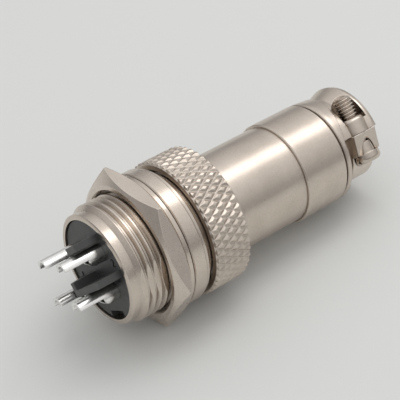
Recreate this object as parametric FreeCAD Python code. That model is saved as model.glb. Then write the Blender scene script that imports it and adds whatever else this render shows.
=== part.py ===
# Four-pole circular connector: panel socket and cable plug, mated and lying along +X.
# Origin on the axis, at the flange face that sits on the panel. Lengths in millimetres.
import FreeCAD, Part
import os
from math import cos, sin, tan, pi, radians, sqrt

# Shared thread and fits
THREAD_RADIUS = 8.0
THREAD_DEPTH = 0.58
THREAD_PITCH = 1.0
THREAD_HALF_GROOVE = 0.4
RUNNING_FIT = 0.05
SLIDING_FIT = 0.08
EDGE = 0.15

# Socket shell, from the solder side to the mating side
REAR_LENGTH = 8.25
PLAIN_LEAD = 1.3
RIM_BEVEL = 0.22
RIM_WALL = 0.42
SEAT_DEPTH = 6.0
FRONT_WALL = 1.12
FLANGE_STEP = 1.2
FLANGE_WIDTH = 1.9
LIP_STEP = 0.3
LIP_WIDTH = 0.45
SOCKET_FRONT = 7.0
FLAT_DEPTH = 0.38
FLAT_ANGLE = 170.0
KEY_WIDTH = 1.7
KEY_HEIGHT = 0.4
KEY_CLEARANCE = 0.15
KEY_ANGLE = 236.0

# Panel fasteners
NUT_WALL = 1.5
NUT_WIDTH = 2.5
NUT_FACE_STEP = 0.4
NUT_CHAMFER_ANGLE = 30.0
NUT_COUNTERSINK = 0.5
WASHER_WIDTH = 0.8
WASHER_FIT = 0.15
WASHER_BAND = 0.95
WASHER_NOTCHES = 12
WASHER_NOTCH_RADIUS = 0.45

# Pins, solder cups and sockets on one square
PIN_COUNT = 4
PIN_WALL = 0.7
PIN_ANGLE = 17.5
CUP_RADIUS = 1.15
CUP_CLEARANCE = 0.03
CUP_BORE = 0.8
CUP_LENGTH = 5.35
CUP_COLLAR = 1.1
CUP_SCOOP_ANGLE = 236.0
PIN_SHANK = 0.9
PIN_RADIUS = 0.78
PIN_TIP = 4.6
CONTACT_RADIUS = 1.15
CONTACT_SLOT = 0.3
CONTACT_CUP = 4.6

# Socket insert with its barrier walls
INSERT_FIT = 0.03
INSERT_RECESS = 0.25
WALL_HEIGHT = 3.4
WALL_THICKNESS = 0.9
WALL_FOOT = 1.0
WALL_ANGLE = 137.0
LOWER_WALL_OFFSET = 1.5
LOWER_WALL_START = -1.75
UPPER_WALL_OFFSET = -3.6
UPPER_WALL_START = 1.9
WEB_THICKNESS = 0.42
WEB_OFFSET = 0.22
INSERT_NOTCH_ANGLE = 236.0
INSERT_NOTCH_WIDTH = 3.4
INSERT_NOTCH_DEPTH = 1.1

# Coupling ring with its diamond knurl
RING_OVERLAP = 3.63
RING_LENGTH = 5.38
RING_WALL = 1.4
RING_BEVEL = 0.45
RING_CHAMFER = 0.2
KNURL_DEPTH = 0.34
KNURL_COLUMNS = 50
KNURL_HALF_ROWS = 5

# Plug barrel, insert and snap ring
NOSE_START = -0.9
NOSE_WALL = 0.77
BARREL_STEP = 0.62
BARREL_LENGTH = 13.65
BARREL_TAIL = 3.85
BARREL_TAIL_STEP = 0.64
BARREL_TAIL_WALL = 1.2
PLUG_INSERT_START = -0.4
PLUG_INSERT_LENGTH = 10.0
SNAP_RING_WIDTH = 0.6
SNAP_RING_GROOVE = 0.42
SNAP_RING_STAND = 0.71
SNAP_RING_GAP = 3.0
SNAP_RING_OFFSET = 0.1

# Backshell with the fixed half of the cable clamp
BACKSHELL_STEP = 0.34
BACKSHELL_LENGTH = 6.9
BACKSHELL_LEDGE = 0.7
GROOVE_WIDTH = 0.28
GROOVE_DEPTH = 0.58
COLLAR_STEP = 0.06
COLLAR_WIDTH = 0.75
NECK_WALL = 1.3
NECK_LENGTH = 0.9
CABLE_RADIUS = 4.0

# Cable clamp, turned about the axis so that its screws lean
CLAMP_ANGLE = -40.0
CLAMP_LENGTH = 5.77
HOOD_OVERLAP = 0.08
HOOD_REACH = 2.6
HOOD_SLOPE = 15.6
HOOD_STEP = 0.27
WAIST_REACH = 2.72
WAIST_STEP = 0.7
HUMP_STEP = 0.18
HUMP_ROUND = 0.3
EAR_GAP = 1.47
EAR_LENGTH = 3.8
EAR_REACH = 1.65
EAR_HEIGHT = 2.75
EAR_TAPER = 0.9
BOSS_HEIGHT = 2.3
BOSS_RADIUS = 1.75
BOSS_ROUND = 0.6
POCKET_RADIUS = 1.6
POCKET_INSET = 4.15
JAW_WALL = 1.8
JAW_GAP = 0.12
SCREW_WALL = 0.25
SCREW_RADIUS = 1.25
SCREW_LENGTH = 8.0
SCREW_HOLE = 1.35
HEAD_RADIUS = 1.75
HEAD_HEIGHT = 1.3
SLOT_WIDTH = 0.5
SLOT_DEPTH = 0.6

# Worked out from the sizes above
NODES = {}
AXIS = FreeCAD.Vector(1, 0, 0)
ORIGIN = FreeCAD.Vector(0, 0, 0)
RIM = -REAR_LENGTH
SEAT = RIM + SEAT_DEPTH
THREAD_ROOT = THREAD_RADIUS - THREAD_DEPTH
RIM_RADIUS = THREAD_ROOT - RIM_BEVEL
INSERT_BORE = RIM_RADIUS - RIM_WALL
INSERT_BACK = RIM + INSERT_RECESS
INSERT_RADIUS = INSERT_BORE - INSERT_FIT
FRONT_BORE = THREAD_ROOT - FRONT_WALL
FLANGE_RADIUS = THREAD_RADIUS + FLANGE_STEP
LIP_RADIUS = FLANGE_RADIUS - LIP_STEP
FLAT_DISTANCE = THREAD_RADIUS - FLAT_DEPTH
WASHER_BORE = THREAD_RADIUS + WASHER_FIT
WASHER_RADIUS = WASHER_BORE + WASHER_BAND
NUT_BACK = -WASHER_WIDTH - NUT_WIDTH
NUT_ACROSS_FLATS = 2 * (THREAD_RADIUS + NUT_WALL)
NUT_FACE_RADIUS = NUT_ACROSS_FLATS / 2 - NUT_FACE_STEP
RING_START = SOCKET_FRONT - RING_OVERLAP
RING_END = RING_START + RING_LENGTH
RING_RADIUS = THREAD_RADIUS + RUNNING_FIT + RING_WALL
RING_END_RADIUS = RING_RADIUS - RING_BEVEL
NOSE_RADIUS = FRONT_BORE - SLIDING_FIT
NOSE_BORE = NOSE_RADIUS - NOSE_WALL
PIN_CIRCLE = NOSE_BORE - CONTACT_RADIUS - PIN_WALL
PLUG_INSERT_END = PLUG_INSERT_START + PLUG_INSERT_LENGTH
BARREL_RADIUS = NOSE_RADIUS + BARREL_STEP
BARREL_END = SOCKET_FRONT + BARREL_LENGTH
TAIL_END = BARREL_END + BARREL_TAIL
BARREL_TAIL_RADIUS = BARREL_RADIUS - BARREL_TAIL_STEP
BARREL_TAIL_BORE = BARREL_TAIL_RADIUS - BARREL_TAIL_WALL
SNAP_RING_START = SOCKET_FRONT + SNAP_RING_OFFSET
SNAP_RING_END = SNAP_RING_START + SNAP_RING_WIDTH
SNAP_RING_BORE = BARREL_RADIUS - SNAP_RING_GROOVE
SNAP_RING_RADIUS = BARREL_RADIUS + SNAP_RING_STAND
BACKSHELL_END = BARREL_END + BACKSHELL_LENGTH
BACKSHELL_RADIUS = BARREL_RADIUS + BACKSHELL_STEP
BACKSHELL_BORE = BARREL_TAIL_RADIUS - BACKSHELL_LEDGE
GROOVE_RADIUS = BACKSHELL_RADIUS - GROOVE_DEPTH
COLLAR_START = BACKSHELL_END + GROOVE_WIDTH
COLLAR_END = COLLAR_START + COLLAR_WIDTH
COLLAR_RADIUS = BACKSHELL_RADIUS - COLLAR_STEP
NECK_RADIUS = CABLE_RADIUS + NECK_WALL
CLAMP_END = COLLAR_END + CLAMP_LENGTH
HOOD_START = COLLAR_END - HOOD_OVERLAP
HOOD_RADIUS = COLLAR_RADIUS - HOOD_STEP
WAIST_PLACE = COLLAR_END + WAIST_REACH
WAIST_RADIUS = COLLAR_RADIUS - WAIST_STEP
HUMP_RADIUS = COLLAR_RADIUS + HUMP_STEP
EAR_START = COLLAR_END + EAR_GAP
EAR_END = EAR_START + EAR_LENGTH
SCREW_PLACE = (EAR_START + EAR_END) / 2
SCREW_SPACING = CABLE_RADIUS + SCREW_HOLE + SCREW_WALL
EAR_OFFSET = SCREW_SPACING + EAR_REACH
JAW_RADIUS = CABLE_RADIUS + JAW_WALL
JAW_MEETING = -JAW_GAP / 2


def vec(x, y, z):
    return FreeCAD.Vector(x, y, z)


def polar(x, radius, degrees):
    return vec(x, radius * cos(radians(degrees)), radius * sin(radians(degrees)))


def revolve(outline):
    """Turn an outline of (x, radius) points about the X axis."""
    points = [vec(x, radius, 0) for x, radius in outline]
    wire = Part.makePolygon(points + points[:1])
    return Part.Face(wire).revolve(ORIGIN, AXIS, 360)


def cylinder(start, end, radius, y=0.0, z=0.0):
    return Part.makeCylinder(radius, end - start, vec(start, y, z), AXIS)


def tube(start, end, radius, bore):
    return revolve([(start, bore), (start, radius), (end, radius), (end, bore)])


def block(x0, x1, y0, y1, z0, z1):
    return Part.makeBox(x1 - x0, y1 - y0, z1 - z0, vec(x0, y0, z0))


def turned(shape, degrees):
    """A copy of the shape, turned about the X axis."""
    result = shape.copy()
    result.rotate(ORIGIN, AXIS, degrees)
    return result


def pin_places():
    """The Y and Z of each pole, numbered round the circle as on the insert."""
    order = (0, 1, 3, 2)
    places = []
    for step in order:
        point = polar(0, PIN_CIRCLE, PIN_ANGLE + step * 360 / PIN_COUNT)
        places.append((point.y, point.z))
    return places


def keep(name, shape):
    """Store one solid under its node name."""
    solids = shape.removeSplitter().Solids
    if len(solids) != 1:
        raise ValueError(f"{name} has {len(solids)} solids")
    NODES[name] = solids[0]


def thread_grooves(start, end):
    """Points of a thread's V grooves, one pitch apart, for a turned outline."""
    points = []
    for step in range(int((end - start) / THREAD_PITCH)):
        place = start + (step + 0.5) * THREAD_PITCH
        points.append((place - THREAD_HALF_GROOVE, THREAD_RADIUS))
        points.append((place, THREAD_ROOT))
        points.append((place + THREAD_HALF_GROOVE, THREAD_RADIUS))
    return points


def make_socket_shell():
    lead = THREAD_RADIUS - THREAD_ROOT
    rear_thread = RIM + PLAIN_LEAD + lead
    front_thread = SOCKET_FRONT - lead
    outline = [
        (RIM, INSERT_BORE), (RIM, RIM_RADIUS), (RIM + EDGE, THREAD_ROOT), (RIM + PLAIN_LEAD, THREAD_ROOT),
        (rear_thread, THREAD_RADIUS),
    ]
    outline += thread_grooves(rear_thread, 0)
    outline += [
        (0, THREAD_RADIUS), (0, FLANGE_RADIUS - EDGE), (EDGE, FLANGE_RADIUS),
        (FLANGE_WIDTH - EDGE, FLANGE_RADIUS),
        (FLANGE_WIDTH, FLANGE_RADIUS - EDGE), (FLANGE_WIDTH, LIP_RADIUS),
        (FLANGE_WIDTH + LIP_WIDTH, LIP_RADIUS),
        (FLANGE_WIDTH + LIP_WIDTH, THREAD_RADIUS),
    ]
    outline += thread_grooves(FLANGE_WIDTH + LIP_WIDTH, front_thread)
    outline += [
        (front_thread, THREAD_RADIUS), (SOCKET_FRONT, THREAD_ROOT), (SOCKET_FRONT, FRONT_BORE),
        (SEAT, FRONT_BORE),
        (SEAT, INSERT_BORE),
    ]
    flat = block(RIM, 0, FLAT_DISTANCE, THREAD_RADIUS + 1, -THREAD_RADIUS, THREAD_RADIUS)
    body = revolve(outline).cut(turned(flat, FLAT_ANGLE))
    key_top = FRONT_BORE - KEY_HEIGHT
    key = block(0, SOCKET_FRONT - EDGE, key_top, FRONT_BORE + EDGE, -KEY_WIDTH / 2, KEY_WIDTH / 2)
    keep("socket_shell", body.fuse(turned(key, KEY_ANGLE)))


def barrier_wall(offset, start):
    """A wall that stands on the back of the insert and runs out to its rim."""
    half = WALL_THICKNESS / 2
    reach = sqrt((INSERT_RADIUS - 4 * EDGE) ** 2 - (abs(offset) + half) ** 2)
    low, high = INSERT_BACK - WALL_HEIGHT, INSERT_BACK + WALL_FOOT
    return block(low, high, start, reach, offset - half, offset + half)


def barrier_web():
    """The sloped web that runs from the lower wall down to the far edge of the insert."""
    far = 4 * EDGE - sqrt(INSERT_RADIUS ** 2 - WEB_OFFSET ** 2)
    low = WEB_OFFSET - WEB_THICKNESS / 2
    top = INSERT_BACK - WALL_HEIGHT
    foot = INSERT_BACK + WALL_FOOT
    side = Part.makePolygon([
        vec(foot, far, low), vec(INSERT_BACK, far, low), vec(top, LOWER_WALL_START, low),
        vec(foot, LOWER_WALL_START, low), vec(foot, far, low),
    ])
    web = Part.Face(side).extrude(vec(0, 0, WEB_THICKNESS))
    link = block(top, foot, LOWER_WALL_START, LOWER_WALL_START + WALL_THICKNESS, low, LOWER_WALL_OFFSET)
    return web.fuse(link)


def make_socket_insert():
    body = revolve([
        (INSERT_BACK, 0), (INSERT_BACK, INSERT_RADIUS - EDGE), (INSERT_BACK + EDGE, INSERT_RADIUS),
        (SEAT, INSERT_RADIUS), (SEAT, 0),
    ])
    inner = INSERT_RADIUS - INSERT_NOTCH_DEPTH
    half = INSERT_NOTCH_WIDTH / 2
    notch = block(INSERT_BACK, INSERT_BACK + 1, inner, INSERT_RADIUS + 1, -half, half)
    body = body.cut(turned(notch, INSERT_NOTCH_ANGLE))
    body = body.fuse(turned(barrier_wall(LOWER_WALL_OFFSET, LOWER_WALL_START), WALL_ANGLE))
    body = body.fuse(turned(barrier_wall(UPPER_WALL_OFFSET, UPPER_WALL_START), WALL_ANGLE))
    body = body.fuse(turned(barrier_web(), WALL_ANGLE))
    for y, z in pin_places():
        body = body.cut(cylinder(INSERT_BACK - WALL_HEIGHT, SEAT, PIN_SHANK, y, z))
        body = body.cut(cylinder(INSERT_BACK - WALL_HEIGHT, INSERT_BACK, CUP_RADIUS + CUP_CLEARANCE, y, z))
    keep("socket_insert", body)


def solder_cup(start, end, y, z):
    """A tube that opens at its start, with one side scooped away down to a collar."""
    cup = cylinder(start, end, CUP_RADIUS).cut(cylinder(start, end - CUP_COLLAR / 2, CUP_BORE))
    scoop = block(start, end - CUP_COLLAR, 0, CUP_RADIUS + 1, -CUP_RADIUS, CUP_RADIUS)
    corner = vec(end - CUP_COLLAR, 0, -CUP_RADIUS)
    slope = Part.makeCylinder(CUP_RADIUS, 2 * CUP_RADIUS, corner, vec(0, 0, 1))
    cup = turned(cup.cut(scoop.cut(slope)), CUP_SCOOP_ANGLE)
    cup.translate(vec(0, y, z))
    return cup


def make_socket_pins():
    for number, (y, z) in enumerate(pin_places(), start=1):
        cup = solder_cup(RIM - CUP_LENGTH, INSERT_BACK, y, z)
        shank = cylinder(INSERT_BACK, SEAT, PIN_SHANK, y, z)
        pin = cylinder(SEAT, PIN_TIP - PIN_RADIUS, PIN_RADIUS, y, z)
        tip = Part.makeSphere(PIN_RADIUS, vec(PIN_TIP - PIN_RADIUS, y, z))
        keep(f"socket_pin_{number}", cup.fuse([shank, pin, tip]))


def make_lock_washer():
    body = revolve([
        (-WASHER_WIDTH, WASHER_BORE), (-WASHER_WIDTH, WASHER_RADIUS - EDGE),
        (-WASHER_WIDTH + EDGE, WASHER_RADIUS),
        (-EDGE, WASHER_RADIUS), (0, WASHER_RADIUS - EDGE), (0, WASHER_BORE),
    ])
    for step in range(WASHER_NOTCHES):
        place = polar(0, WASHER_BORE, step * 360 / WASHER_NOTCHES)
        body = body.cut(cylinder(-WASHER_WIDTH, 0, WASHER_NOTCH_RADIUS, place.y, place.z))
    keep("lock_washer", body)


def make_hex_nut():
    corner = NUT_ACROSS_FLATS / 2 / cos(pi / 6)
    outline = [polar(NUT_BACK, corner, 60 * step) for step in range(7)]
    prism = Part.Face(Part.makePolygon(outline)).extrude(vec(NUT_WIDTH, 0, 0))
    bevel = (corner - NUT_FACE_RADIUS) * tan(radians(NUT_CHAMFER_ANGLE))
    bore = THREAD_RADIUS + RUNNING_FIT
    front = NUT_BACK + NUT_WIDTH
    envelope = revolve([
        (NUT_BACK, bore + NUT_COUNTERSINK), (NUT_BACK, NUT_FACE_RADIUS), (NUT_BACK + bevel, corner),
        (front - bevel, corner), (front, NUT_FACE_RADIUS), (front, bore + NUT_COUNTERSINK),
        (front - NUT_COUNTERSINK, bore), (NUT_BACK + NUT_COUNTERSINK, bore),
    ])
    keep("hex_nut", prism.common(envelope))


def knurl_points():
    """Rows of points round the ring: peaks and the crossings of two helical grooves take turns."""
    start = RING_START + RING_CHAMFER
    half_pitch = (RING_LENGTH - 2 * RING_CHAMFER) / KNURL_HALF_ROWS
    count = 2 * KNURL_COLUMNS
    rows = [[polar(RING_START, RING_END_RADIUS, 180 * step / KNURL_COLUMNS) for step in range(count)]]
    for row in range(KNURL_HALF_ROWS + 1):
        line = []
        for step in range(count):
            radius = RING_RADIUS - KNURL_DEPTH * ((row + step + 1) % 2)
            line.append(polar(start + row * half_pitch, radius, 180 * step / KNURL_COLUMNS))
        rows.append(line)
    rows.append([polar(RING_END, RING_END_RADIUS, 180 * step / KNURL_COLUMNS) for step in range(count)])
    return rows


def triangle(a, b, c):
    return Part.Face(Part.makePolygon([a, b, c, a]))


def knurled_body():
    """A closed body of flat facets with diamond points on its outside."""
    rows = knurl_points()
    faces = [Part.Face(Part.makePolygon(rim + rim[:1])) for rim in (rows[0], rows[-1])]
    for row in range(len(rows) - 1):
        near, far = rows[row], rows[row + 1]
        for step in range(len(near)):
            after = (step + 1) % len(near)
            if (row + step) % 2:
                faces.append(triangle(near[step], near[after], far[after]))
                faces.append(triangle(near[step], far[after], far[step]))
            else:
                faces.append(triangle(near[step], near[after], far[step]))
                faces.append(triangle(near[after], far[after], far[step]))
    shell = Part.Shell(faces)
    shell.sewShape()
    body = Part.Solid(shell)
    if body.Volume < 0:
        body.reverse()
    return body


def make_coupling_ring():
    bore = THREAD_RADIUS + RUNNING_FIT
    lip_start = SNAP_RING_END + RUNNING_FIT
    lip_bore = BARREL_RADIUS + SLIDING_FIT
    hollow = revolve([
        (RING_START - 1, 0), (RING_START - 1, bore + 1), (RING_START, bore + 2 * EDGE),
        (RING_START + 2 * EDGE, bore),
        (lip_start, bore), (lip_start, lip_bore), (RING_END + 1, lip_bore), (RING_END + 1, 0),
    ])
    keep("coupling_ring", knurled_body().cut(hollow))


def make_plug_barrel():
    body = revolve([
        (NOSE_START, NOSE_BORE), (NOSE_START, NOSE_RADIUS - EDGE), (NOSE_START + EDGE, NOSE_RADIUS),
        (SOCKET_FRONT, NOSE_RADIUS), (SOCKET_FRONT, BARREL_RADIUS), (BARREL_END, BARREL_RADIUS),
        (BARREL_END, BARREL_TAIL_RADIUS), (TAIL_END, BARREL_TAIL_RADIUS), (TAIL_END, BARREL_TAIL_BORE),
        (PLUG_INSERT_END, BARREL_TAIL_BORE), (PLUG_INSERT_END, NOSE_BORE),
    ])
    body = body.cut(tube(SNAP_RING_START, SNAP_RING_END, BARREL_RADIUS + 1, SNAP_RING_BORE))
    floor = FRONT_BORE - KEY_HEIGHT - KEY_CLEARANCE
    half = KEY_WIDTH / 2 + KEY_CLEARANCE
    keyway = block(NOSE_START, SOCKET_FRONT, floor, NOSE_RADIUS + 1, -half, half)
    keep("plug_barrel", body.cut(turned(keyway, KEY_ANGLE)))


def make_snap_ring():
    body = tube(SNAP_RING_START, SNAP_RING_END, SNAP_RING_RADIUS, SNAP_RING_BORE)
    half = SNAP_RING_GAP / 2
    gap = block(SNAP_RING_START, SNAP_RING_END, 0, SNAP_RING_RADIUS + 1, -half, half)
    keep("snap_ring", body.cut(turned(gap, KEY_ANGLE)))


def make_plug_insert():
    body = cylinder(PLUG_INSERT_START, PLUG_INSERT_END, NOSE_BORE - INSERT_FIT)
    for y, z in pin_places():
        body = body.cut(cylinder(PLUG_INSERT_START, PLUG_INSERT_END, CONTACT_RADIUS, y, z))
    keep("plug_insert", body)


def make_plug_contacts():
    for number, (y, z) in enumerate(pin_places(), start=1):
        bore = PIN_RADIUS + SLIDING_FIT
        depth = PIN_TIP + 1
        body = cylinder(PLUG_INSERT_START, PLUG_INSERT_END, CONTACT_RADIUS, y, z)
        body = body.cut(cylinder(PLUG_INSERT_START, depth, bore, y, z))
        half = CONTACT_SLOT / 2
        slot = block(PLUG_INSERT_START, depth, -CONTACT_RADIUS, CONTACT_RADIUS, -half, half)
        slot.translate(vec(0, y, z))
        cup = solder_cup(0, CONTACT_CUP, 0, 0).mirror(ORIGIN, AXIS)
        cup.translate(vec(PLUG_INSERT_END + CONTACT_CUP, y, z))
        keep(f"plug_contact_{number}", body.cut(slot).fuse(cup))


def clamp_hood(reach):
    """The end of the collar, that leans over the fixed jaw."""
    hood = revolve([
        (COLLAR_START, 0), (COLLAR_START, COLLAR_RADIUS - EDGE), (COLLAR_START + EDGE, COLLAR_RADIUS),
        (HOOD_START, COLLAR_RADIUS), (HOOD_START + HOOD_REACH, HOOD_RADIUS), (HOOD_START + HOOD_REACH, 0),
    ])
    lean = block(-reach, 0, -reach, reach, -reach, reach)
    lean.rotate(ORIGIN, vec(0, 1, 0), HOOD_SLOPE)
    lean.translate(vec(HOOD_START, 0, 0))
    return hood.common(lean)


def fixed_jaw():
    """The half of the clamp that is one piece with the backshell, standing on +Z."""
    reach = 2 * HUMP_RADIUS
    jaw = revolve([
        (COLLAR_START, 0), (COLLAR_START, GROOVE_RADIUS), (WAIST_PLACE, WAIST_RADIUS),
        (CLAMP_END - 2 * HUMP_ROUND, HUMP_RADIUS),
        (CLAMP_END - HUMP_ROUND / 2, HUMP_RADIUS - HUMP_ROUND / 3),
        (CLAMP_END, HUMP_RADIUS - HUMP_ROUND), (CLAMP_END, 0),
    ])
    jaw = jaw.fuse(clamp_hood(reach))
    jaw = jaw.common(block(COLLAR_START, CLAMP_END, -EAR_OFFSET, EAR_OFFSET, 0, HUMP_RADIUS))
    for side in (-1, 1):
        inner, outer = sorted((side * POCKET_INSET, side * reach))
        middle, edge = sorted((side * SCREW_SPACING, side * reach))
        start, end = SCREW_PLACE - POCKET_RADIUS, SCREW_PLACE + POCKET_RADIUS
        slot = block(start, end, middle, edge, BOSS_HEIGHT - BOSS_ROUND, reach)
        recess = block(SCREW_PLACE - POCKET_RADIUS, SCREW_PLACE, inner, outer, -1, BOSS_HEIGHT)
        round_end = screw_shaft(side, POCKET_RADIUS, BOSS_HEIGHT - BOSS_ROUND, reach)
        boss = screw_shaft(side, BOSS_RADIUS, 0, BOSS_HEIGHT)
        top = [edge for edge in boss.Edges if edge.BoundBox.ZMin > BOSS_HEIGHT / 2]
        hole = screw_shaft(side, SCREW_RADIUS + RUNNING_FIT, -1, HUMP_RADIUS)
        jaw = jaw.cut(slot).cut(recess).cut(round_end).fuse(boss.makeFillet(BOSS_ROUND, top)).cut(hole)
    return jaw


def screw_shaft(side, radius, low, high):
    return Part.makeCylinder(radius, high - low, vec(SCREW_PLACE, side * SCREW_SPACING, low), vec(0, 0, 1))


def make_backshell():
    body = revolve([
        (BARREL_END, BARREL_TAIL_RADIUS), (BARREL_END, BACKSHELL_RADIUS - EDGE),
        (BARREL_END + EDGE, BACKSHELL_RADIUS),
        (BACKSHELL_END - EDGE, BACKSHELL_RADIUS), (BACKSHELL_END, BACKSHELL_RADIUS - EDGE),
        (BACKSHELL_END, GROOVE_RADIUS), (COLLAR_START, GROOVE_RADIUS),
        (COLLAR_START, COLLAR_RADIUS - EDGE),
        (COLLAR_START + EDGE, COLLAR_RADIUS), (COLLAR_END - EDGE, COLLAR_RADIUS),
        (COLLAR_END, COLLAR_RADIUS - EDGE),
        (COLLAR_END, NECK_RADIUS), (COLLAR_END + NECK_LENGTH, NECK_RADIUS),
        (COLLAR_END + NECK_LENGTH, CABLE_RADIUS),
        (COLLAR_START, CABLE_RADIUS), (BACKSHELL_END - BACKSHELL_BORE + CABLE_RADIUS, BACKSHELL_BORE),
        (TAIL_END, BACKSHELL_BORE), (TAIL_END, BARREL_TAIL_RADIUS),
    ])
    body = body.fuse(turned(fixed_jaw(), CLAMP_ANGLE))
    keep("backshell", body.cut(cylinder(COLLAR_START, CLAMP_END + 1, CABLE_RADIUS)))


def jaw_ear(side):
    """One ear of the loose jaw; its outer face leans in towards the screw's head."""
    bottom = JAW_MEETING - EAR_HEIGHT
    root = side * (CABLE_RADIUS + EDGE)
    outline = Part.makePolygon([
        vec(EAR_START, root, JAW_MEETING), vec(EAR_START, side * EAR_OFFSET, JAW_MEETING),
        vec(EAR_START, side * (EAR_OFFSET - EAR_TAPER), bottom), vec(EAR_START, root, bottom),
        vec(EAR_START, root, JAW_MEETING),
    ])
    return Part.Face(outline).extrude(vec(EAR_END - EAR_START, 0, 0))


def make_clamp_jaw():
    body = revolve([
        (EAR_START, CABLE_RADIUS), (EAR_START, JAW_RADIUS - EDGE), (EAR_START + EDGE, JAW_RADIUS),
        (CLAMP_END - 2 * HUMP_ROUND, JAW_RADIUS), (CLAMP_END, JAW_RADIUS - 2 * HUMP_ROUND),
        (CLAMP_END, CABLE_RADIUS),
    ])
    reach = 2 * HUMP_RADIUS
    body = body.common(block(EAR_START, CLAMP_END, -reach, reach, -reach, JAW_MEETING))
    for side in (-1, 1):
        body = body.fuse(jaw_ear(side))
    for side in (-1, 1):
        body = body.cut(screw_shaft(side, SCREW_HOLE, -reach, reach))
        body = body.cut(screw_shaft(side, HEAD_RADIUS + EDGE, -reach, JAW_MEETING - EAR_HEIGHT))
    body = body.cut(cylinder(EAR_START, CLAMP_END, CABLE_RADIUS))
    keep("clamp_jaw", turned(body, CLAMP_ANGLE))


def make_clamp_screws():
    seat = JAW_MEETING - EAR_HEIGHT
    for number, side in enumerate((-1, 1), start=1):
        shaft = screw_shaft(side, SCREW_RADIUS, seat, seat + SCREW_LENGTH)
        top = seat - HEAD_HEIGHT
        head = screw_shaft(side, HEAD_RADIUS, top, seat)
        rounded = [edge for edge in head.Edges if abs(edge.BoundBox.ZMax - top) < RUNNING_FIT]
        head = head.makeFillet(HEAD_HEIGHT / 2, rounded)
        start, end = SCREW_PLACE - 2 * HEAD_RADIUS, SCREW_PLACE + 2 * HEAD_RADIUS
        middle = side * SCREW_SPACING
        slot = block(start, end, middle - SLOT_WIDTH / 2, middle + SLOT_WIDTH / 2, top, top + SLOT_DEPTH)
        screw = shaft.fuse(head.cut(slot))
        keep(f"clamp_screw_{number}", turned(screw, CLAMP_ANGLE))


def make_all():
    make_socket_shell()
    make_socket_insert()
    make_socket_pins()
    make_lock_washer()
    make_hex_nut()
    make_coupling_ring()
    make_plug_barrel()
    make_snap_ring()
    make_plug_insert()
    make_plug_contacts()
    make_backshell()
    make_clamp_jaw()
    make_clamp_screws()


make_all()
os.makedirs("parts", exist_ok=True)
for name, shape in NODES.items():
    shape.exportStep(f"parts/{name}.step")
    print(f"{name}: {shape.Volume:.1f} mm3, valid {shape.isValid()}")
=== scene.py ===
# Four-pole circular connector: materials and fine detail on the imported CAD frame.
import bmesh
import bpy
from math import cos, pi, radians, sin, tan
from mathutils import Matrix, Vector


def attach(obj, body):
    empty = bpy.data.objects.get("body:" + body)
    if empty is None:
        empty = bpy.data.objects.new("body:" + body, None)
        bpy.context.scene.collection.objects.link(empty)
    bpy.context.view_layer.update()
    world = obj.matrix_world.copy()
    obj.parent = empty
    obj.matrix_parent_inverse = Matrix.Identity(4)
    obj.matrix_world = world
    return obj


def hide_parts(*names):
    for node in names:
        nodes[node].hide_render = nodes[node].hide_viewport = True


MM = 0.001

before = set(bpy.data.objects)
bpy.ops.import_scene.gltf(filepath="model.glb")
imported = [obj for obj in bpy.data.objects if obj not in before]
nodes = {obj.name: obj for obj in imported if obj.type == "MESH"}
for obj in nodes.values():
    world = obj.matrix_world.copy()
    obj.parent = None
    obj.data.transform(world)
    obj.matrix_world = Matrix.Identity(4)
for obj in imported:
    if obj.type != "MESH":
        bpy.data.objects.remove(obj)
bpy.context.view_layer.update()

# Camera, in the part's own axes
CAMERA_PLACE = (-64.95, -96.33, 96.22)
CAMERA_RIGHT = (0.77505, -0.63043, -0.04298)
CAMERA_UP = (0.41375, 0.45490, 0.78859)
LENS = 108.0
SENSOR = 36.0
CLIP_START = 0.005
CLIP_END = 10.0

# Broad flats at the roots of the socket's threads: the first groove of each thread, and how many it has
ROOT_RADIUS = 7.56
ROOT_WIDTH = 0.84
ROOT_DEPTH = 0.5
ROOT_STEPS = 300
THREAD_PITCH = 1.0
THREAD_RINGS = ((-5.87, 6), (2.85, 4))

# Knurl of the coupling ring
RING_PLACE = (3.37, 8.75)
RING_STEPS = 300
KNURL_TOP = 9.32
KNURL_SHARP_ANGLE = 15

# Clamp screws, in the clamp's own turned axes
CLAMP_ANGLE = -40.0
SCREW_PLACE = 31.95
SCREW_SPACING = 5.6
SCREW_RADIUS = 1.25
SCREW_PITCH = 0.45
SCREW_DEPTH = 0.25
SCREW_THREAD = (-1.4, 5.4)
SCREW_STEPS = 24
FLANK_ANGLE = 30.0
CUTTER_LIP = 0.12

# Meshes: edges sharper than this angle stay sharp, and nearer corners (in metres) are welded
SHARP_ANGLE = 35
WELD_DISTANCE = 1e-7

# Numerals beside the solder cups
NUMERAL_SIZE = 1.5
NUMERAL_HEIGHT = 0.09
NUMERAL_TURN = 62.0
NUMERAL_PLACES = ((3.7, -3.4), (-3.6, 3.3), (-4.5, 1.4), (4.5, -1.4))
INSERT_BACK = -8.0

# Floor, touched by the coupling ring and the lower clamp screw
FLOOR_HEIGHT = -10.1
FLOOR_TILT = 4.44
FLOOR_SIZE = 900.0
FLOOR_COLOUR = (0.69, 0.695, 0.68)
FLOOR_ROUGHNESS = 0.75

# Light: a sky that grows brighter upwards, and a long soft lamp overhead
SKY_LOW = 0.25
SKY_HIGH = 1.10
KEY_PLACE = (170, 5, 330)
KEY_SIZE = (460, 140)
KEY_POWER = 0.30

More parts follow.
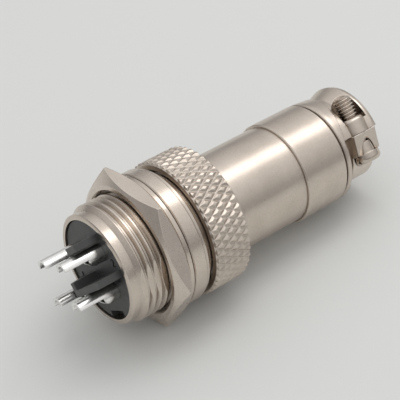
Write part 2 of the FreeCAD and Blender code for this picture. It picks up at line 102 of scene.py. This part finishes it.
# Colours: the cloudy plating runs from dark to light, and rubbed edges take the edge colour, which is
# lighter partly as wear and partly as a painted edge highlight
NICKEL_DARK = (0.60, 0.525, 0.455)
NICKEL_LIGHT = (0.67, 0.59, 0.515)
NICKEL_EDGE_HIGHLIGHT = (0.84, 0.77, 0.70)
KNURL_EDGE_HIGHLIGHT = (0.92, 0.84, 0.765)
NUT_DARK = (0.65, 0.575, 0.505)
NUT_LIGHT = (0.72, 0.64, 0.565)
CAST_DARK = (0.68, 0.60, 0.525)
CAST_LIGHT = (0.76, 0.675, 0.595)
SPRING_DARK = (0.30, 0.29, 0.28)
SPRING_LIGHT = (0.38, 0.37, 0.36)
SILVER_DARK = (0.82, 0.81, 0.79)
SILVER_LIGHT = (0.92, 0.91, 0.89)
SILVER_EDGE_HIGHLIGHT = (0.96, 0.95, 0.94)
BLACK_DARK = (0.045, 0.048, 0.045)
BLACK_LIGHT = (0.060, 0.063, 0.060)
NUMERAL_DARK = (0.006, 0.006, 0.0065)
NUMERAL_LIGHT = (0.010, 0.0105, 0.011)

# Shading: a rounded normal agrees with the true one by FLAT_DOT on a flat and by SHARP_DOT on a sharp edge
BEVEL_SAMPLES = 6
FLAT_DOT = 0.995
SHARP_DOT = 0.90
METAL_EDGE_WIDTH = 0.09
BLACK_EDGE_WIDTH = 0.08
HOLLOW_SAMPLES = 4
HOLLOW_REACH = 0.6
# Painted shade: narrow gaps and hollows are darkened towards this share of the dark colour
HOLLOW_SHADE_SHARE = 0.25
SPECK_STRENGTH = 0.16
GRAIN_RELIEF = 0.006
TURNING_RELIEF = 0.008
BLACK_RELIEF = 0.01
WORN_POLISH = 0.08
# The moulding's rubbed edges are painted paler by this factor, partly as wear and partly as a painted edge
# highlight
EDGE_HIGHLIGHT_PALENESS = 2.6


def make_camera():
    right = Vector(CAMERA_RIGHT).normalized()
    up = Vector(CAMERA_UP)
    back = right.cross(up).normalized()
    up = back.cross(right)
    data = bpy.data.cameras.new("camera")
    data.sensor_width = SENSOR
    data.lens = LENS
    data.clip_start = CLIP_START
    data.clip_end = CLIP_END
    camera = bpy.data.objects.new("camera", data)
    bpy.context.scene.collection.objects.link(camera)
    turn = Matrix((right, up, back)).transposed().to_4x4()
    camera.matrix_world = Matrix.Translation(Vector(CAMERA_PLACE) * MM) @ turn
    bpy.context.scene.camera = camera


# Materials

class Nodes:
    """A new material whose shader nodes are added and joined by short calls."""

    def __init__(self, name):
        self.material = bpy.data.materials.new(name)
        self.material.use_nodes = True
        self.tree = self.material.node_tree
        self.shader = self.tree.nodes["Principled BSDF"]

    def add(self, kind):
        return self.tree.nodes.new("ShaderNode" + kind)

    def join(self, output, target):
        self.tree.links.new(output, target)

    def place(self, scale=(1, 1, 1)):
        """Object coordinates in millimetres, stretched by scale."""
        source = self.add("TexCoord")
        mapping = self.add("Mapping")
        mapping.inputs["Scale"].default_value = [1000 * value for value in scale]
        self.join(source.outputs["Object"], mapping.inputs["Vector"])
        return mapping.outputs["Vector"]

    def noise(self, vector, scale, detail=3.0, roughness=0.55):
        node = self.add("TexNoise")
        node.inputs["Scale"].default_value = scale
        node.inputs["Detail"].default_value = detail
        node.inputs["Roughness"].default_value = roughness
        self.join(vector, node.inputs["Vector"])
        return node.outputs["Fac"]

    def ramp(self, value, stops):
        """A colour ramp; every stop is (place, colour)."""
        node = self.add("ValToRGB")
        ramp = node.color_ramp
        while len(ramp.elements) < len(stops):
            ramp.elements.new(1.0)
        for element, (place, colour) in zip(ramp.elements, stops):
            element.position = place
            element.color = (*colour, 1.0)
        self.join(value, node.inputs["Fac"])
        return node.outputs["Color"]

    def spread(self, value, low, high):
        """A 0..1 value mapped to low..high."""
        node = self.add("MapRange")
        node.inputs["To Min"].default_value = low
        node.inputs["To Max"].default_value = high
        self.join(value, node.inputs["Value"])
        return node.outputs["Result"]

    def math(self, operation, first, second):
        node = self.add("Math")
        node.operation = operation
        for socket, value in zip(node.inputs, (first, second)):
            if isinstance(value, (int, float)):
                socket.default_value = value
            else:
                self.join(value, socket)
        return node.outputs["Value"]

    def blend(self, factor, first, second, kind="MIX"):
        node = self.add("Mix")
        node.data_type = "RGBA"
        node.blend_type = kind
        if isinstance(factor, (int, float)):
            node.inputs["Factor"].default_value = factor
        else:
            self.join(factor, node.inputs["Factor"])
        for socket, value in zip((node.inputs[6], node.inputs[7]), (first, second)):
            if isinstance(value, tuple):
                socket.default_value = (*value, 1.0)
            else:
                self.join(value, socket)
        return node.outputs[2]

    def rounded(self, radius):
        """The surface normal as if sharp edges had a small radius."""
        bevel = self.add("Bevel")
        bevel.samples = BEVEL_SAMPLES
        bevel.inputs["Radius"].default_value = radius * MM
        return bevel.outputs["Normal"]

    def edges(self, radius):
        """About 1 on sharp edges and 0 elsewhere."""
        bevel = self.rounded(radius)
        geometry = self.add("NewGeometry")
        dot = self.add("VectorMath")
        dot.operation = "DOT_PRODUCT"
        self.join(bevel, dot.inputs[0])
        self.join(geometry.outputs["Normal"], dot.inputs[1])
        gap = self.add("MapRange")
        gap.inputs["From Min"].default_value = FLAT_DOT
        gap.inputs["From Max"].default_value = SHARP_DOT
        self.join(dot.outputs["Value"], gap.inputs["Value"])
        return gap.outputs["Result"]

    def hollows(self, distance):
        """About 1 in narrow gaps and 0 on open faces."""
        node = self.add("AmbientOcclusion")
        node.samples = HOLLOW_SAMPLES
        node.inputs["Distance"].default_value = distance * MM
        return self.math("SUBTRACT", 1.0, node.outputs["AO"])

    def bump(self, height, strength, distance, normal):
        """The normal tilted by a height map; distance is the relief in millimetres."""
        node = self.add("Bump")
        node.inputs["Strength"].default_value = strength
        node.inputs["Distance"].default_value = distance * MM
        self.join(height, node.inputs["Height"])
        self.join(normal, node.inputs["Normal"])
        return node.outputs["Normal"]

    def finish(self, colour, roughness, normal, metallic):
        self.join(colour, self.shader.inputs["Base Color"])
        self.join(roughness, self.shader.inputs["Roughness"])
        self.join(normal, self.shader.inputs["Normal"])
        self.shader.inputs["Metallic"].default_value = metallic
        return self.material


def plated_metal(name, dark, light, rubbed_edge_highlight, smooth, rough, turning=0.0, grain=0.3, hollow_shade=0.5, soft=0.1):
    """A plated metal with soft clouds, painted shade darkening its hollows, fine grain, rubbed edges
    painted lighter as wear and as an edge highlight, and turning marks round X.

    Its roughness runs from smooth to rough, and its edges look rounded by soft, in millimetres.
    """
    make = Nodes(name)
    cloud = make.noise(make.place(), 0.35, 4.0)
    colour = make.ramp(cloud, ((0.3, dark), (0.7, light)))
    specks = make.spread(make.noise(make.place(), 4.0, 3.0, 0.8), 1 - SPECK_STRENGTH, 1 + SPECK_STRENGTH)
    colour = make.blend(1.0, colour, specks, "MULTIPLY")
    # Painted shade: narrow gaps are darkened towards a share of the dark colour, as strongly as
    # hollow_shade sets
    painted_hollow_shade = make.math("MULTIPLY", make.hollows(HOLLOW_REACH), hollow_shade)
    colour = make.blend(painted_hollow_shade, colour, tuple(HOLLOW_SHADE_SHARE * c for c in dark))
    # Rubbed edges are painted lighter, partly as wear and partly as a painted edge highlight; the same mask
    # also polishes them
    patches = make.spread(make.noise(make.place(), 2.2), 0.25, 0.9)
    wear_and_highlight = make.math("MULTIPLY", make.edges(METAL_EDGE_WIDTH), patches)
    colour = make.blend(wear_and_highlight, colour, rubbed_edge_highlight)
    fine = make.noise(make.place(), 11.0, 4.0, 0.65)
    rough_map = make.spread(make.noise(make.place(), 1.1, 5.0, 0.7), smooth, rough)
    rough_map = make.math("SUBTRACT", rough_map, make.math("MULTIPLY", wear_and_highlight, WORN_POLISH))
    normal = make.bump(fine, grain, GRAIN_RELIEF, make.rounded(soft))
    if turning:
        marks = make.noise(make.place((1, 0.02, 0.02)), 9.0, 3.0, 0.6)
        normal = make.bump(marks, turning, TURNING_RELIEF, normal)
    return make.finish(colour, rough_map, normal, 1.0)


def moulding(name, dark, light):
    """A black glass-filled moulding with a matt skin and rubbed edges painted paler, partly as wear and
    partly as a painted edge highlight.
    """
    make = Nodes(name)
    cloud = make.noise(make.place(), 0.5, 4.0)
    colour = make.ramp(cloud, ((0.3, dark), (0.7, light)))
    patches = make.spread(make.noise(make.place(), 3.0), 0.2, 0.8)
    # Rubbed edges are painted paler, partly as wear and partly as a painted edge highlight
    wear_and_highlight = make.math("MULTIPLY", make.edges(BLACK_EDGE_WIDTH), patches)
    colour = make.blend(wear_and_highlight, colour, tuple(EDGE_HIGHLIGHT_PALENESS * c for c in light))
    fine = make.noise(make.place(), 6.0, 5.0, 0.7)
    roughness = make.spread(make.noise(make.place(), 1.6), 0.36, 0.56)
    normal = make.bump(fine, 0.3, BLACK_RELIEF, make.rounded(0.06))
    return make.finish(colour, roughness, normal, 0.0)


def make_materials():
    nickel = (NICKEL_DARK, NICKEL_LIGHT, NICKEL_EDGE_HIGHLIGHT)
    nut = (NUT_DARK, NUT_LIGHT, NICKEL_EDGE_HIGHLIGHT)
    cast = (CAST_DARK, CAST_LIGHT, SILVER_EDGE_HIGHLIGHT)
    knurled = (NICKEL_DARK, NICKEL_LIGHT, KNURL_EDGE_HIGHLIGHT)
    spring = (SPRING_DARK, SPRING_LIGHT, NICKEL_EDGE_HIGHLIGHT)
    silver = (SILVER_DARK, SILVER_LIGHT, SILVER_EDGE_HIGHLIGHT)
    return {
        "barrel": plated_metal("satin_barrel", *nickel, 0.25, 0.32, turning=0.25),
        "shell": plated_metal("satin_shell", *nickel, 0.22, 0.30, turning=0.2, hollow_shade=0.9, soft=0.03),
        "ring": plated_metal("satin_ring", *knurled, 0.30, 0.38, hollow_shade=0.9, soft=0.12),
        "nut": plated_metal("satin_nut", *nut, 0.24, 0.32),
        "bright": plated_metal("bright_nickel", *nickel, 0.16, 0.24, hollow_shade=0.15),
        "clamp": plated_metal("satin_clamp", *cast, 0.32, 0.42, grain=0.4, soft=0.25),
        "spring": plated_metal("spring_steel", *spring, 0.25, 0.38),
        "silver": plated_metal("silver_plate", *silver, 0.16, 0.30, grain=0.5, hollow_shade=0.35),
        "black": moulding("black_moulding", BLACK_DARK, BLACK_LIGHT),
        "numeral": moulding("black_numeral", NUMERAL_DARK, NUMERAL_LIGHT),
    }


# Meshes

def add_object(name, mesh, material, body):
    obj = bpy.data.objects.new(name, mesh)
    bpy.context.scene.collection.objects.link(obj)
    obj.data.materials.clear()
    obj.data.materials.append(material)
    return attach(obj, body)


def helix_mesh(radius, depth, pitch, start, end, steps):
    """A closed ridge of V section along a helix round the X axis, that cuts a thread groove."""
    half_root = pitch / 16
    half_top = half_root + (depth + CUTTER_LIP) * tan(radians(FLANK_ANGLE))
    section = ((-half_root, -depth), (half_root, -depth), (half_top, CUTTER_LIP), (-half_top, CUTTER_LIP))
    mesh = bpy.data.meshes.new("thread_cutter")
    work = bmesh.new()
    count = int((end - start) / pitch * steps)
    rings = []
    for step in range(count + 1):
        angle = 2 * pi * step / steps
        place = start + pitch * step / steps
        ring = []
        for along, out in section:
            reach = radius + out
            point = Vector((place + along, reach * cos(angle), reach * sin(angle)))
            ring.append(work.verts.new(point * MM))
        rings.append(ring)
    for near, far in zip(rings, rings[1:]):
        for index in range(len(section)):
            after = (index + 1) % len(section)
            work.faces.new((near[index], near[after], far[after], far[index]))
    work.faces.new(rings[0])
    work.faces.new(list(reversed(rings[-1])))
    bmesh.ops.recalc_face_normals(work, faces=work.faces)
    work.to_mesh(mesh)
    work.free()
    return mesh


def ring_mesh(place, width, inner, outer, steps):
    """A closed ring of square section round the X axis."""
    mesh = bpy.data.meshes.new("ring")
    work = bmesh.new()
    corners = ((-width / 2, inner), (width / 2, inner), (width / 2, outer), (-width / 2, outer))
    rings = []
    for step in range(steps):
        angle = 2 * pi * step / steps
        ring = []
        for along, radius in corners:
            point = Vector((place + along, radius * cos(angle), radius * sin(angle)))
            ring.append(work.verts.new(point * MM))
        rings.append(ring)
    for near, far in zip(rings, rings[1:] + rings[:1]):
        for index in range(len(corners)):
            after = (index + 1) % len(corners)
            work.faces.new((near[index], near[after], far[after], far[index]))
    bmesh.ops.recalc_face_normals(work, faces=work.faces)
    work.to_mesh(mesh)
    work.free()
    return mesh


def worked_copy(node, operation, tool_meshes):
    """The node's mesh with the tool meshes taken away (DIFFERENCE) or joined on (UNION), as a new mesh."""
    work = bpy.data.objects.new("work", nodes[node].data.copy())
    bpy.context.scene.collection.objects.link(work)
    bm = bmesh.new()
    bm.from_mesh(work.data)
    bmesh.ops.remove_doubles(bm, verts=bm.verts, dist=WELD_DISTANCE)
    bm.to_mesh(work.data)
    bm.free()
    tools = []
    for mesh in tool_meshes:
        tool = bpy.data.objects.new("tool", mesh)
        bpy.context.scene.collection.objects.link(tool)
        modifier = work.modifiers.new("work", "BOOLEAN")
        modifier.operation = operation
        modifier.solver = "EXACT"
        modifier.object = tool
        tools.append(tool)
    bpy.context.view_layer.update()
    graph = bpy.context.evaluated_depsgraph_get()
    result = bpy.data.meshes.new_from_object(work.evaluated_get(graph))
    for item in [work] + tools:
        bpy.data.objects.remove(item)
    return result


def shade(mesh, degrees=SHARP_ANGLE):
    """Smooth shading, with sharp edges where faces meet at more than the angle."""
    if "custom_normal" in mesh.attributes:
        mesh.attributes.remove(mesh.attributes["custom_normal"])
    mesh.polygons.foreach_set("use_smooth", [True] * len(mesh.polygons))
    mesh.set_sharp_from_angle(angle=radians(degrees))
    mesh.update()


def make_threaded_shell(materials):
    """The socket shell with a broad flat at the root of every thread groove."""
    fillers = []
    for first, count in THREAD_RINGS:
        for step in range(count):
            place = first + step * THREAD_PITCH
            fillers.append(ring_mesh(place, ROOT_WIDTH, ROOT_RADIUS - ROOT_DEPTH, ROOT_RADIUS, ROOT_STEPS))
    mesh = worked_copy("socket_shell", "UNION", fillers)
    shade(mesh)
    obj = add_object("threaded_shell", mesh, materials["shell"], "socket")
    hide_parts("socket_shell")


def make_worn_ring(materials):
    """The coupling ring with the diamond points of its knurl worn down to small flats."""
    middle = (RING_PLACE[0] + RING_PLACE[1]) / 2
    width = 2 * (RING_PLACE[1] - RING_PLACE[0])
    cutter = ring_mesh(middle, width, KNURL_TOP, 2 * KNURL_TOP, RING_STEPS)
    mesh = worked_copy("coupling_ring", "DIFFERENCE", (cutter,))
    shade(mesh, KNURL_SHARP_ANGLE)
    obj = add_object("worn_ring", mesh, materials["ring"], "ring")
    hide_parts("coupling_ring")


def make_threaded_screws(materials):
    for number, side in ((1, -1), (2, 1)):
        cutter = helix_mesh(SCREW_RADIUS, SCREW_DEPTH, SCREW_PITCH, *SCREW_THREAD, SCREW_STEPS)
        stand = Matrix.Rotation(-pi / 2, 4, "Y")
        shift = Matrix.Translation(Vector((SCREW_PLACE, side * SCREW_SPACING, 0)) * MM)
        lean = Matrix.Rotation(radians(CLAMP_ANGLE), 4, "X")
        cutter.transform(lean @ shift @ stand)
        mesh = worked_copy(f"clamp_screw_{number}", "DIFFERENCE", (cutter,))
        shade(mesh)
        body = f"screw_{number}"
        obj = add_object(f"threaded_{body}", mesh, materials["bright"], body)
        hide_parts(f"clamp_screw_{number}")


def make_numerals(material):
    """Raised pole numbers on the insert's back face, read from behind."""
    turn = radians(NUMERAL_TURN)
    up = Vector((0, cos(turn), sin(turn)))
    face = Vector((-1, 0, 0))
    stand = Matrix((up.cross(face), up, face)).transposed().to_4x4()
    for number, (y, z) in enumerate(NUMERAL_PLACES, start=1):
        text = bpy.data.curves.new("numeral", "FONT")
        text.body = str(number)
        text.size = NUMERAL_SIZE * MM
        text.extrude = NUMERAL_HEIGHT * MM
        text.align_x = "CENTER"
        text.align_y = "CENTER"
        source = bpy.data.objects.new("numeral", text)
        mesh = bpy.data.meshes.new_from_object(source)
        bpy.data.objects.remove(source)
        mesh.transform(Matrix.Translation(Vector((INSERT_BACK, y, z)) * MM) @ stand)
        add_object(f"pole_number_{number}", mesh, material, "socket")


NODE_MATERIALS = {
    "socket_insert": "black", "plug_insert": "black", "lock_washer": "bright", "hex_nut": "nut",
    "coupling_ring": "ring", "plug_barrel": "barrel", "backshell": "barrel", "clamp_jaw": "clamp",
    "snap_ring": "spring", "socket_shell": "shell", "clamp_screw_1": "bright", "clamp_screw_2": "bright",
}


def dress_nodes(materials):
    for name, obj in nodes.items():
        material = materials[NODE_MATERIALS.get(name, "silver")]
        obj.data.materials.clear()
        obj.data.materials.append(material)


# Stage and light

def make_floor():
    make = Nodes("floor")
    make.shader.inputs["Base Color"].default_value = (*FLOOR_COLOUR, 1.0)
    make.shader.inputs["Roughness"].default_value = FLOOR_ROUGHNESS
    mesh = bpy.data.meshes.new("floor")
    half = FLOOR_SIZE / 2 * MM
    corners = [(-half, -half, 0), (half, -half, 0), (half, half, 0), (-half, half, 0)]
    mesh.from_pydata(corners, [], [(0, 1, 2, 3)])
    floor = bpy.data.objects.new("floor", mesh)
    bpy.context.scene.collection.objects.link(floor)
    mesh.materials.append(make.material)
    tilt = Matrix.Rotation(radians(-FLOOR_TILT), 4, "Y")
    floor.matrix_world = Matrix.Translation((0, 0, FLOOR_HEIGHT * MM)) @ tilt


def make_world():
    world = bpy.data.worlds.new("world")
    bpy.context.scene.world = world
    world.use_nodes = True
    tree = world.node_tree
    source = tree.nodes.new("ShaderNodeTexCoord")
    split = tree.nodes.new("ShaderNodeSeparateXYZ")
    rise = tree.nodes.new("ShaderNodeMapRange")
    rise.inputs["To Min"].default_value = SKY_LOW
    rise.inputs["To Max"].default_value = SKY_HIGH
    background = tree.nodes["Background"]
    background.inputs["Color"].default_value = (1.0, 1.0, 1.0, 1.0)
    tree.links.new(source.outputs["Generated"], split.inputs[0])
    tree.links.new(split.outputs["Z"], rise.inputs["Value"])
    tree.links.new(rise.outputs["Result"], background.inputs["Strength"])


def make_lamp(name, place, size, power):
    """A soft rectangular lamp that shines straight down from a place in millimetres."""
    data = bpy.data.lights.new(name, "AREA")
    data.shape = "RECTANGLE"
    data.size = size[0] * MM
    data.size_y = size[1] * MM
    data.energy = power
    lamp = bpy.data.objects.new(name, data)
    bpy.context.scene.collection.objects.link(lamp)
    lamp.matrix_world = Matrix.Translation(Vector(place) * MM)


make_camera()
palette = make_materials()
dress_nodes(palette)
make_threaded_shell(palette)
make_worn_ring(palette)
make_threaded_screws(palette)
make_numerals(palette["numeral"])
make_floor()
make_world()
make_lamp("key", KEY_PLACE, KEY_SIZE, KEY_POWER)

bpy.context.scene.view_settings.view_transform = "Standard"
